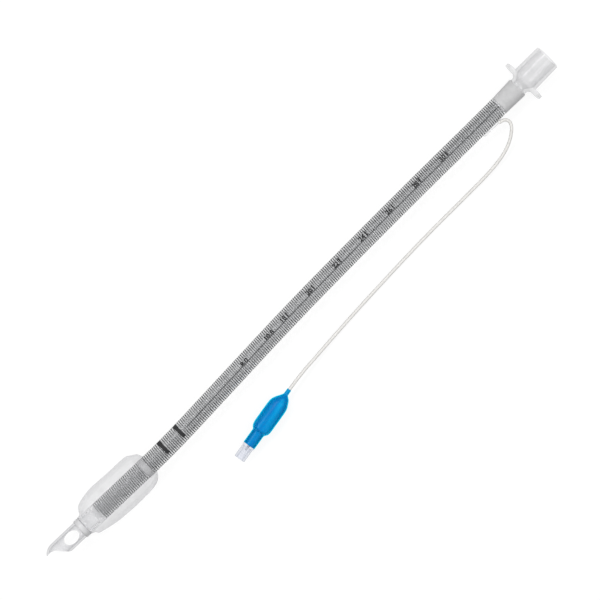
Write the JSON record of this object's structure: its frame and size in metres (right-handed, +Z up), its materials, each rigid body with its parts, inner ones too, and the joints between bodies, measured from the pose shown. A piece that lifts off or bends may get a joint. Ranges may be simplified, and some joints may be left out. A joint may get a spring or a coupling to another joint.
{
  "type": "endotracheal tube",
  "caption": "Wire-reinforced cuffed endotracheal tube with bevelled hooked tip, 15 mm connector, inflation line and pilot balloon with a sprung check valve.",
  "frame": {"origin": "on the table, under the middle of the tube's length and of its width over connector ears and cuff", "axes": "+X along the tube towards its connector, +Y away from the pilot balloon, +Z up"},
  "size_m": [0.3751, 0.0499, 0.0194],
  "materials": {
    "tube_wall": "clear soft polymer, satin",
    "tip_wall": "clear moulded soft polymer",
    "coil_steel": "drawn stainless wire",
    "cuff_film": "thin clear film",
    "black_ink": "printed ink",
    "grey_stripe": "radiopaque compound in the wall",
    "connector_plastic": "clear rigid moulding",
    "line_tube": "clear soft hose",
    "balloon_blue": "tinted soft film",
    "valve_plastic": "clear rigid moulding",
    "plunger_plastic": "moulded",
    "seal_rubber": "moulded elastomer",
    "spring_steel": "spring wire"
  },
  "bodies": {
    "root": {"tube_shaft": "tube_wall", "reinforcing_coil": "coil_steel", "soft_tip": "tip_wall", "cuff": "cuff_film", "depth_bands": "black_ink", "depth_ticks": "black_ink", "radiopaque_stripe": "grey_stripe", "machine_connector": "connector_plastic", "inflation_line": "line_tube", "pilot_balloon": "balloon_blue", "valve_housing": "valve_plastic", "valve_cage": "plunger_plastic", "valve_spring": "spring_steel"},
    "plunger": {"valve_plunger": "plunger_plastic", "valve_seal": "seal_rubber"}
  },
  "joints": [
    {"name": "plunger_slide", "type": "slide", "parent": "root", "child": "plunger", "axis": [0.9878, 0.1556, 0], "range_m": [0, 0.0012], "stiffness_N_per_m": 1500, "springref_m": -0.0007, "deforming": ["valve_spring"]}
  ]
}
